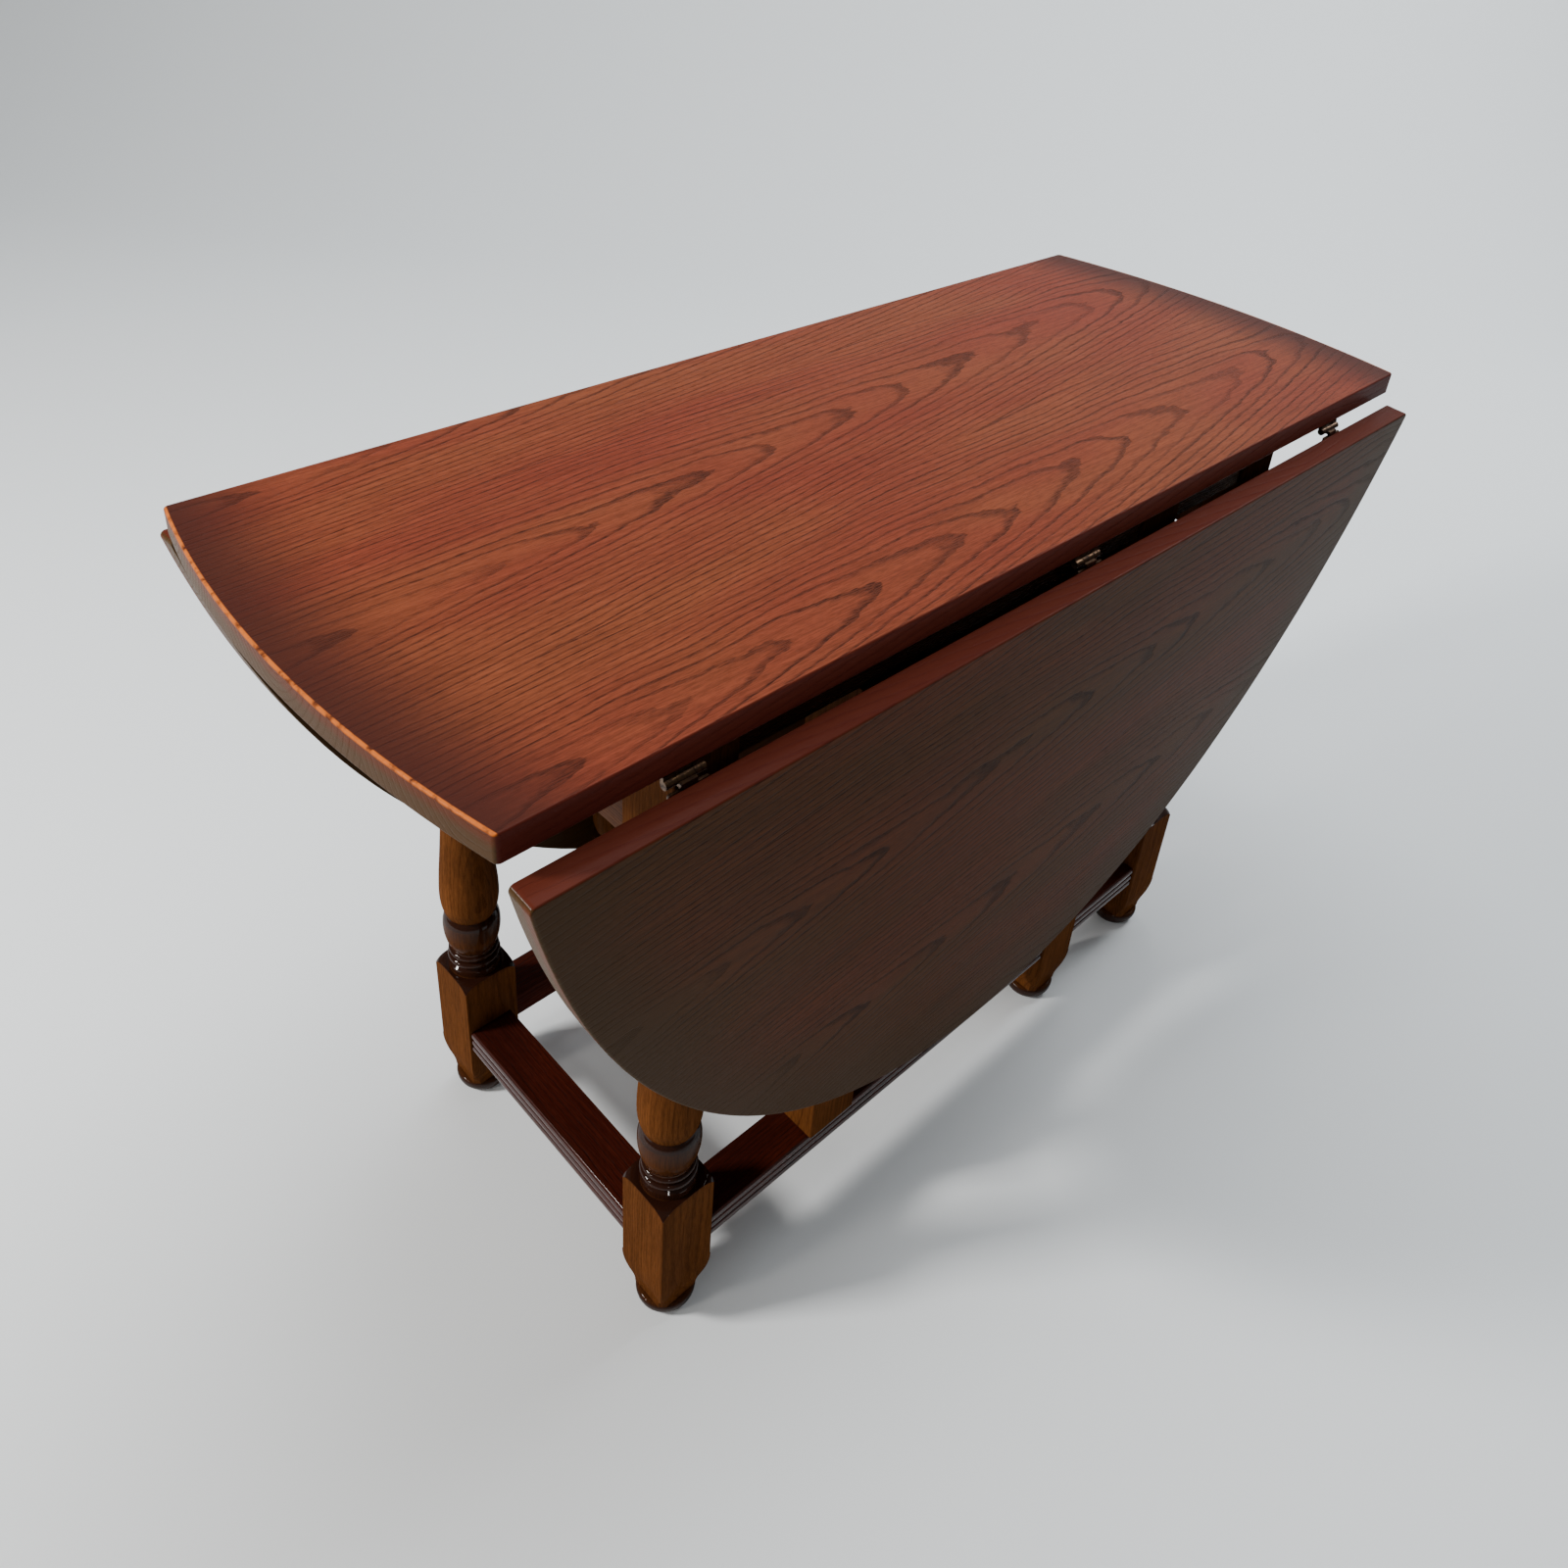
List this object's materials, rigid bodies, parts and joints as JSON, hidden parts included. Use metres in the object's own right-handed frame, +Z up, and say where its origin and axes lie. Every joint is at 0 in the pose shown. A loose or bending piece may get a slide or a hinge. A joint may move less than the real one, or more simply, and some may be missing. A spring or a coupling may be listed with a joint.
{
  "type": "drop leaf table",
  "caption": "Oval drop leaf table with hanging half-oval leaves, turned legs, low stretchers and a swinging gate under each leaf.",
  "frame": {"origin": "on the floor under the middle of the table", "axes": "+X along the boards of the top, +Y across towards the back leaf, +Z up"},
  "size_m": [1.15, 0.505, 0.737],
  "materials": {
    "top_wood": "satin stained wood with a strong plain-sawn grain, darker towards both ends",
    "leaf_wood": "satin stained wood with a strong plain-sawn grain",
    "turned_wood": "polished turned wood, darker in the grooves",
    "stretcher_wood": "polished wood with a reeded edge",
    "rail_wood": "satin stained wood",
    "hinge_brass": "aged brass",
    "pivot_iron": "dark iron",
    "screw_steel": "dull steel"
  },
  "bodies": {
    "frame": {"back_hinge_left_pin": "hinge_brass", "back_hinge_left_top_plate": "hinge_brass", "back_hinge_middle_pin": "hinge_brass", "back_hinge_middle_top_plate": "hinge_brass", "back_hinge_right_pin": "hinge_brass", "back_hinge_right_top_plate": "hinge_brass", "back_stretcher": "stretcher_wood", "back_top_hinge_screws": "screw_steel", "back_top_rail": "rail_wood", "centre_top": "top_wood", "front_hinge_left_pin": "hinge_brass", "front_hinge_left_top_plate": "hinge_brass", "front_hinge_middle_pin": "hinge_brass", "front_hinge_middle_top_plate": "hinge_brass", "front_hinge_right_pin": "hinge_brass", "front_hinge_right_top_plate": "hinge_brass", "front_stretcher": "stretcher_wood", "front_top_hinge_screws": "screw_steel", "front_top_rail": "rail_wood", "left_end_rail": "rail_wood", "left_stretcher": "stretcher_wood", "leg_back_left": "turned_wood", "leg_back_right": "turned_wood", "leg_front_left": "turned_wood", "leg_front_right": "turned_wood", "right_end_rail": "rail_wood", "right_stretcher": "stretcher_wood", "top_fixing_screws": "screw_steel", "top_glue_blocks": "rail_wood"},
    "front_leaf": {"front_gate_stop": "rail_wood", "front_gate_stop_screws": "screw_steel", "front_hinge_left_leaf_plate": "hinge_brass", "front_hinge_middle_leaf_plate": "hinge_brass", "front_hinge_right_leaf_plate": "hinge_brass", "front_leaf": "leaf_wood", "front_leaf_hinge_screws": "screw_steel"},
    "back_leaf": {"back_gate_stop": "rail_wood", "back_gate_stop_screws": "screw_steel", "back_hinge_left_leaf_plate": "hinge_brass", "back_hinge_middle_leaf_plate": "hinge_brass", "back_hinge_right_leaf_plate": "hinge_brass", "back_leaf": "leaf_wood", "back_leaf_hinge_screws": "screw_steel"},
    "front_gate": {"front_gate_leg": "turned_wood", "front_gate_lower_pin": "pivot_iron", "front_gate_lower_rail": "rail_wood", "front_gate_post": "turned_wood", "front_gate_upper_pin": "pivot_iron", "front_gate_upper_rail": "rail_wood"},
    "back_gate": {"back_gate_leg": "turned_wood", "back_gate_lower_pin": "pivot_iron", "back_gate_lower_rail": "rail_wood", "back_gate_post": "turned_wood", "back_gate_upper_pin": "pivot_iron", "back_gate_upper_rail": "rail_wood"}
  },
  "joints": [
    {"name": "front_leaf_hinge", "type": "hinge", "parent": "frame", "child": "front_leaf", "pos_m": [0, -0.224, 0.708], "axis": [-1, 0, 0], "range_deg": [0, 94.27]},
    {"name": "back_leaf_hinge", "type": "hinge", "parent": "frame", "child": "back_leaf", "pos_m": [0, 0.224, 0.708], "axis": [1, 0, 0], "range_deg": [0, 94.27]},
    {"name": "front_gate_pivot", "type": "hinge", "parent": "frame", "child": "front_gate", "pos_m": [-0.187, -0.15725, 0.4], "axis": [0, 0, -1], "range_deg": [0, 0.8]},
    {"name": "back_gate_pivot", "type": "hinge", "parent": "frame", "child": "back_gate", "pos_m": [0.187, 0.15725, 0.4], "axis": [0, 0, -1], "range_deg": [0, 0.8]}
  ]
}
